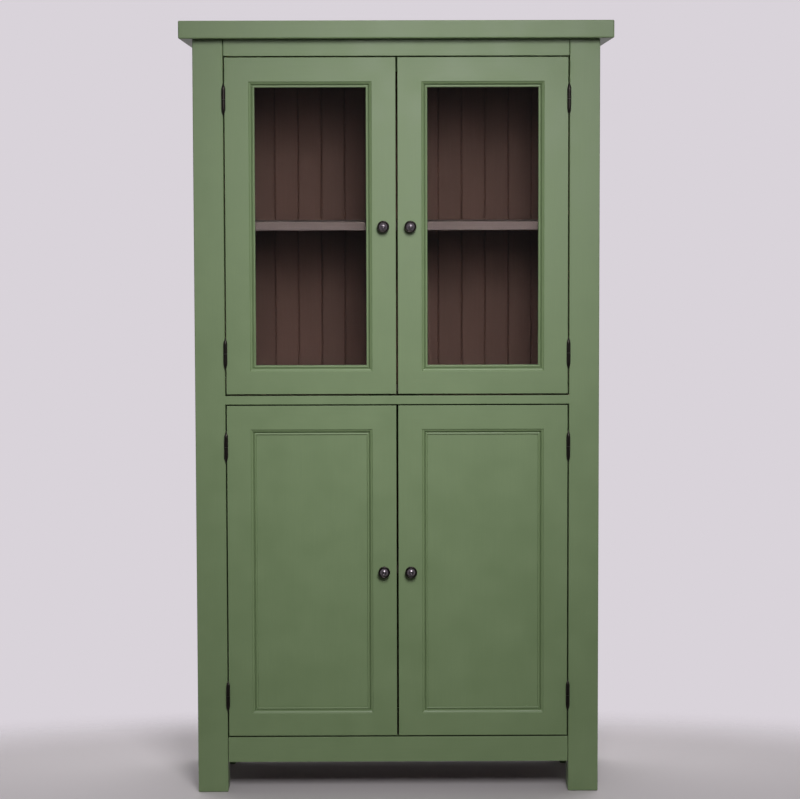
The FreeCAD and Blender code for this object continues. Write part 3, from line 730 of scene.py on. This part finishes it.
class CABINET_OT_hinges(bpy.types.Operator):
    """Makes the lift-off hinges with screwed leaves, round knuckles and tapered ends"""
    bl_idname = "cabinet.hinges"
    bl_label = "Hinges"

    BARREL = 4.5 * MM
    HALF_HEIGHT = 25 * MM
    LEAF_WIDTH = 25 * MM
    LEAF_THICKNESS = 2 * MM
    JOINT_GAP = 0.3 * MM
    PROUD = 0.1 * MM
    TAPER = 13.5 * MM
    BORE = 3.05 * MM
    BORE_END = 22 * MM
    SCREW_DOME = 0.3 * MM
    # Screw places on a leaf, across and up from its middle
    SCREWS = [(-5 * MM, -17 * MM), (5 * MM, 0.0), (-5 * MM, 17 * MM)]
    # Share of the barrel's radius, and millimetres beyond the end of the leaf, up to the tip
    TIP = [(1, -7), (1, -4), (0.97, -1), (0.87, 2), (0.68, 5), (0.42, 8), (0.21, 10.8),
           (0.1, 12.6), (0.06, 13.5), (0, 13.5)]

    def knuckle(self):
        """The profile of a bored barrel from the joint line up to its tip."""
        foot = self.JOINT_GAP / 2
        bore = [(0, self.BORE_END), (self.BORE, self.BORE_END), (self.BORE, foot)]
        rim = [(self.BARREL - self.JOINT_GAP, foot), (self.BARREL, foot + self.JOINT_GAP)]
        tip = [(self.BARREL * share, self.HALF_HEIGHT + rise * MM) for share, rise in self.TIP]
        return np.vstack([bore, rim, softened(tip)])

    def leaf(self, axis, level, towards, up, gap, front):
        """The grids of one leaf: towards is +1 or -1 along X to its plate, and up along Z.

        The plates stand the gap between door and post apart, and start at the doors' front. They
        are a touch proud of the wood.
        """
        x, y = axis
        fittings = settings()[1]
        barrel = turned(self.knuckle(), fittings.segments)
        grids = [moved(barrel, (x, y, level), (1, 0, 0), (0, 1, 0), (0, 0, up))]
        start = front - self.PROUD
        plate = eased_block((-self.LEAF_WIDTH / 2, -self.HALF_HEIGHT, -self.LEAF_THICKNESS),
                            (self.LEAF_WIDTH / 2, self.HALF_HEIGHT, 0),
                            fittings.leaf_corner, fittings.plate_easing, PLATE_STEPS)
        face = x + towards * (gap / 2 - self.PROUD)
        middle = np.array((face, start + self.LEAF_WIDTH / 2, level))
        directions = (0, 1, 0), (0, 0, 1), (-towards, 0, 0)
        grids.append(moved(plate, middle, *directions))
        head = screw_head(fittings.screw_radius, self.SCREW_DOME)
        grids += [moved(head, middle + (0, across, rise), *directions)
                  for across, rise in self.SCREWS]
        # The neck runs from inside the knuckle into the plate, over the knuckle's own height
        inset = fittings.plate_easing / 4
        ends = sorted((face + towards * inset, face + towards * (self.LEAF_THICKNESS - inset)))
        heights = sorted((level + up * self.JOINT_GAP, level + up * (self.HALF_HEIGHT - inset)))
        grids.append(eased_block((ends[0], y, heights[0]),
                                 (ends[1], start + self.LEAF_WIDTH / 8, heights[1]),
                                 fittings.plate_easing, fittings.plate_easing, PLATE_STEPS))
        return grids

    def execute(self, context):
        post_grids = []
        for tier, side in DOORS:
            sign = SIDES[side]
            node = f"door_{tier}_{side}_hinge_leaves"
            axis = JOINT_AT[f"door_{tier}_{side}_hinge"][:2]
            low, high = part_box(node)
            levels = low.z + self.HALF_HEIGHT, high.z - self.HALF_HEIGHT - self.TAPER
            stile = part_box(f"door_{tier}_{side}_hinge_stile")
            gap = 2 * (abs(axis[0]) - max(abs(stile[0].x), abs(stile[1].x)))
            door_grids = []
            for level in levels:
                door_grids += self.leaf(axis, level, -sign, 1, gap, stile[0].y)
                post_grids += self.leaf(axis, level, sign, -1, gap, stile[0].y)
            piece(f"door_leaves_{tier}_{side}", door_grids, "blackened_iron",
                  f"door_{tier}_{side}", [node])
        piece("post_leaves", post_grids, "blackened_iron", "cabinet",
              ["hinge_post_leaves"])
        return {"FINISHED"}


class CABINET_OT_fittings(bpy.types.Operator):
    """Adds the catches and strikes, the knobs' bolts, the cleats' screws and the boards' nails"""
    bl_idname = "cabinet.fittings"
    bl_label = "Catches and screws"

    # A catch: width and height of its body, depth and height of an ear, width and height of a pole
    BODY = (28 * MM, 16 * MM)
    EAR = (12 * MM, 3 * MM)
    EAR_REACH = 23 * MM
    EAR_SCREW_DOME = 1.2 * MM
    EDGE = 0.6 * MM
    POLE = (22 * MM, 1.6 * MM)
    POLE_SPREAD = 3.2 * MM
    POLE_EDGE = 0.3 * MM
    SCREW_DOME = 0.35 * MM
    BOLT_DOME = 2.2 * MM
    STRIKE_SCREW = 15 * MM
    CLEAT = (18 * MM, 16 * MM)
    CLEAT_INSET = 14 * MM
    NAIL = 2.2 * MM
    NAIL_DOME = 0.5 * MM
    NAIL_SPREAD = 17 * MM

    def catch(self, middle, face, back, up):
        """A catch: body, two ears against the deck, and the steel that shows. up is +1 or -1."""
        x, z = middle
        width, height = self.BODY
        ear_depth, ear_height = self.EAR
        foot = z - up * height / 2
        reach = self.EAR_REACH
        soft = self.EDGE
        plastic = [eased_block((x - width / 2, face + soft, z - height / 2),
                               (x + width / 2, back, z + height / 2), soft, soft)]
        steel = []
        for sign in (-1, 1):
            across = sorted((x + sign * (width / 2 - soft), x + sign * reach))
            heights = sorted((foot, foot + up * ear_height))
            plastic.append(eased_block((across[0], back - ear_depth - soft, heights[0]),
                                       (across[1], back - soft, heights[1]), soft, soft))
            head = screw_head(settings()[1].screw_radius, self.EAR_SCREW_DOME)
            place = (x + sign * (reach + width / 2) / 2, back - soft - ear_depth / 2,
                     foot + up * ear_height)
            steel.append(moved(head, place, (1, 0, 0), (0, 1, 0), (0, 0, up)))
            level = z + sign * self.POLE_SPREAD
            steel.append(eased_block(
                (x - self.POLE[0] / 2, face, level - self.POLE[1] / 2),
                (x + self.POLE[0] / 2, back - soft, level + self.POLE[1] / 2),
                self.POLE_EDGE, self.POLE_EDGE))
        return plastic, steel

    def strikes_and_catches(self, fittings):
        plastic, steel = [], []
        catch_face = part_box("magnet_catches")[0].y
        catch_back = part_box("magnet_catches")[1].y
        for tier, side in DOORS:
            node = f"door_{tier}_{side}_strike_plate"
            low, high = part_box(node)
            middle = np.array(((low.x + high.x) / 2, high.y, (low.z + high.z) / 2))
            directions = (-1, 0, 0), (0, 0, 1), (0, 1, 0)
            width, height, thickness = high.x - low.x, high.z - low.z, high.y - low.y
            plate = eased_block((-width / 2, -height / 2, -thickness), (width / 2, height / 2, 0),
                                fittings.leaf_corner, fittings.plate_easing, PLATE_STEPS)
            head = screw_head(fittings.screw_radius, self.SCREW_DOME)
            grids = [moved(plate, middle, *directions)]
            grids += [moved(head, middle + (sign * self.STRIKE_SCREW, 0, 0), *directions)
                      for sign in (-1, 1)]
            piece(f"strike_{tier}_{side}", grids, "zinc_plated_steel", f"door_{tier}_{side}",
                  [node])
            up = 1 if tier == "upper" else -1
            more = self.catch(middle[[0, 2]], catch_face, catch_back, up)
            plastic += more[0]
            steel += more[1]
        piece("catch_bodies", plastic, "brown_plastic", "cabinet",
              ["magnet_catches"])
        piece("catch_poles_and_screws", steel, "zinc_plated_steel", "cabinet")

    def knob_bolts(self, fittings):
        for tier, side in DOORS:
            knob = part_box(f"door_{tier}_{side}_knob")
            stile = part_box(f"door_{tier}_{side}_lock_stile")
            place = ((knob[0].x + knob[1].x) / 2, stile[1].y, (knob[0].z + knob[1].z) / 2)
            head = screw_head(fittings.bolt_radius, self.BOLT_DOME)
            piece(f"knob_bolt_{tier}_{side}",
                  [moved(head, place, (-1, 0, 0), (0, 0, 1), (0, 1, 0))],
                  "zinc_plated_steel", f"door_{tier}_{side}")

    def cleat_screws(self, fittings):
        low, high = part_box("shelf_cleats")
        width, height = self.CLEAT
        head = screw_head(fittings.screw_radius, self.SCREW_DOME)
        grids = []
        for sign in (-1, 1):
            face = sign * (high.x - width)
            for level in (low.z + height / 2, high.z - height / 2):
                for y in (low.y + self.CLEAT_INSET, high.y - 2 * self.CLEAT_INSET):
                    grids.append(moved(head, (face, y, level),
                                       (0, 1, 0), (0, 0, 1), (-sign, 0, 0)))
        piece("cleat_screws", grids, "zinc_plated_steel", "cabinet")

    def board_nails(self):
        """Two nails a board, into the rear edge of the middle deck."""
        low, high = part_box("back_boards")
        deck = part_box("deck_middle")
        level = (deck[0].z + deck[1].z) / 2
        boards = np.arange(low.x + BOARD_COVER / 2, high.x - BOARD_COVER / 4, BOARD_COVER)
        head = screw_head(self.NAIL, self.NAIL_DOME, sides=12, rings=3)
        grids = [moved(head, (x + sign * self.NAIL_SPREAD, high.y, level),
                       (-1, 0, 0), (0, 0, 1), (0, 1, 0))
                 for x in boards for sign in (-1, 1)]
        piece("board_nails", grids, "zinc_plated_steel", "cabinet")

    def execute(self, context):
        fittings = settings()[1]
        self.strikes_and_catches(fittings)
        self.knob_bolts(fittings)
        self.cleat_screws(fittings)
        self.board_nails()
        return {"FINISHED"}


class CABINET_OT_stage(bpy.types.Operator):
    """Sets the camera, the soft lamps, the pale floor and the room's light"""
    bl_idname = "cabinet.stage"
    bl_label = "Stage"

    FLOOR_RADIUS = 3.0
    FLOOR_LEVEL = -0.5 * MM
    FLOOR_SIDES = 96
    # The floor fades between these distances, with sideways ones counted at under half
    FADE_START = 0.45
    FADE_END = 0.85
    SIDEWAYS = 0.45
    # Each lamp's place, width, height and spread in degrees, and the place that all are aimed at
    LAMPS = {
        "main_lamp": ((0.34, -3.3, 2.46), 0.8, 1.5, 54),
        "right_lamp": ((2.0, -2.9, 2.6), 0.2, 0.2, 170),
        "left_lamp": ((-1.8, -3.1, 2.6), 0.2, 0.2, 170),
    }
    AIM = (-0.05, 0.0, 0.98)
    # The room's light changes between these parts of a direction along Z or Y
    LOW_TO_HIGH = (-0.3, 0.7)
    SLANT_TO_STEEP = (0.62, 0.9)
    FRONT_TO_REAR = (-0.05, 0.35)
    AHEAD_TO_ASIDE = (-0.8, -0.2)
    # The share of the weak light that is left low down
    LOW_SHARE = 0.1
    # What a mirrored look to the front adds to the backdrop's strength of one
    DIMMING = -0.94

    def camera(self, stage):
        """The camera turns by yaw about Z, then looks down by the pitch, then rolls."""
        pitch, roll, yaw = stage.camera_turn
        data = bpy.data.cameras.new("camera")
        data.lens = stage.lens
        made = bpy.data.objects.new("camera", data)
        made.matrix_world = (Matrix.Translation(stage.camera_place) @ Matrix.Rotation(yaw, 4, "Z")
                             @ Matrix.Rotation(math.pi / 2 - pitch, 4, "X")
                             @ Matrix.Rotation(roll, 4, "Z"))
        bpy.context.scene.collection.objects.link(made)
        bpy.context.scene.camera = made

    def lamps(self, stage):
        for name, (place, width, height, spread) in self.LAMPS.items():
            data = bpy.data.lights.new(name, "AREA")
            data.energy = stage.main_power if name == "main_lamp" else stage.side_power
            data.shape = "RECTANGLE"
            data.size = width
            data.size_y = height
            data.spread = math.radians(spread)
            made = bpy.data.objects.new(name, data)
            made.location = place
            way = Vector(self.AIM) - Vector(place)
            made.rotation_euler = way.to_track_quat("-Z", "Y").to_euler()
            made.visible_camera = False
            made.visible_transmission = False
            bpy.context.scene.collection.objects.link(made)

    def floor_shader(self, tree):
        """Matt pale floor paint that fades out evenly, far from the cabinet."""
        place = stretched(tree, (self.SIDEWAYS, 1.0, 1.0))
        distance = add(tree, "VectorMath", {0: place}, operation="LENGTH").outputs["Value"]
        fade = ramp(tree, distance, self.FADE_START, self.FADE_END,
                    interpolation_type="SMOOTHSTEP")
        matt = add(tree, "BsdfPrincipled", {
            "Base Color": linear(settings()[2].floor), "Roughness": 0.85})
        clear = add(tree, "BsdfTransparent")
        return add(tree, "MixShader", {0: fade, 1: matt.outputs[0], 2: clear.outputs[0]})

    def floor(self):
        """A flat round floor, half a millimetre under the feet."""
        profile = np.array([(0.0, self.FLOOR_LEVEL), (self.FLOOR_RADIUS, self.FLOOR_LEVEL)])
        made = surface("floor", [turned(profile, self.FLOOR_SIDES)],
                       material("pale_floor_paint", self.floor_shader))

    def room(self, stage):
        """A plain pale room, lit from above and behind, that is dim in front of the cabinet.

        Straight looks, mirrors and panes show the backdrop. A mirrored look to the front is
        dimmer, as it is in a deep room. All other rays get a weak light, which falls off towards
        the floor, and a stronger one that comes in steeply from behind.
        """
        world = bpy.data.worlds.new("room")
        bpy.context.scene.world = world
        world.use_nodes = True
        tree = world.node_tree
        tree.nodes.clear()
        ways = add(tree, "LightPath").outputs
        direction = add(tree, "SeparateXYZ", {
            "Vector": add(tree, "TexCoord").outputs["Generated"]}).outputs
        seen = calc(tree, "ADD", ways["Is Camera Ray"], ways["Is Glossy Ray"], use_clamp=True)
        seen = calc(tree, "ADD", seen, ways["Is Transmission Ray"], use_clamp=True)
        first = calc(tree, "LESS_THAN", ways["Diffuse Depth"], 0.5)
        seen = calc(tree, "MULTIPLY", seen, first)
        above = ramp(tree, direction["Z"], *self.LOW_TO_HIGH, self.LOW_SHARE * stage.room_light,
                     stage.room_light)
        behind = ramp(tree, direction["Y"], *self.FRONT_TO_REAR, 0.0, stage.rear_light,
                      interpolation_type="SMOOTHSTEP")
        steep = ramp(tree, direction["Z"], *self.SLANT_TO_STEEP,
                     interpolation_type="SMOOTHSTEP")
        light = add(tree, "Background", {
            "Color": (1.0, 1.0, 1.0, 1.0),
            "Strength": calc(tree, "MULTIPLY_ADD", behind, steep, above)})
        dimmed = ramp(tree, direction["Y"], *self.AHEAD_TO_ASIDE, self.DIMMING, 0.0)
        mirrored = calc(tree, "MINIMUM", ways["Glossy Depth"], 1.0)
        pale = add(tree, "Background", {
            "Color": linear(stage.backdrop),
            "Strength": calc(tree, "MULTIPLY_ADD", mirrored, dimmed, 1.0)})
        mixed = add(tree, "MixShader", {0: seen, 1: light.outputs[0], 2: pale.outputs[0]})
        output = tree.nodes.new("ShaderNodeOutputWorld")
        tree.links.new(mixed.outputs[0], output.inputs["Surface"])

    def execute(self, context):
        stage = settings()[2]
        context.scene.view_settings.view_transform = "Standard"
        self.camera(stage)
        self.lamps(stage)
        self.floor()
        self.room(stage)
        return {"FINISHED"}


class CABINET_PT_sidebar(bpy.types.Panel):
    """Lists the settings and the steps that build the looks"""
    bl_idname = "CABINET_PT_sidebar"
    bl_label = "Painted Display Cabinet"
    bl_space_type = "VIEW_3D"
    bl_region_type = "UI"
    bl_category = "Cabinet"

    def draw(self, context):
        for title, group in zip(("Finish", "Fittings", "Stage"), settings()):
            box = self.layout.box()
            box.label(text=title)
            for name in group.bl_rna.properties.keys():
                if name not in ("rna_type", "name"):
                    box.prop(group, name)
        for step in STEPS:
            self.layout.operator(step.bl_idname)


STEPS = (CABINET_OT_woodwork, CABINET_OT_top_and_rails, CABINET_OT_door_frames, CABINET_OT_knobs,
         CABINET_OT_hinges, CABINET_OT_fittings, CABINET_OT_stage)
GROUPS = {"cabinet_finish": CabinetFinish, "cabinet_fittings": CabinetFittings,
          "cabinet_stage": CabinetStage}


def register():
    for made in (*GROUPS.values(), *STEPS, CABINET_PT_sidebar):
        bpy.utils.register_class(made)
    for name, group in GROUPS.items():
        setattr(bpy.types.Scene, name, PointerProperty(type=group))


def unregister():
    for name in GROUPS:
        delattr(bpy.types.Scene, name)
    for made in reversed((*GROUPS.values(), *STEPS, CABINET_PT_sidebar)):
        bpy.utils.unregister_class(made)


def main():
    """Registers the add-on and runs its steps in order."""
    register()
    for step in STEPS:
        family, name = step.bl_idname.split(".")
        getattr(getattr(bpy.ops, family), name)()


if __name__ == "__main__":
    main()
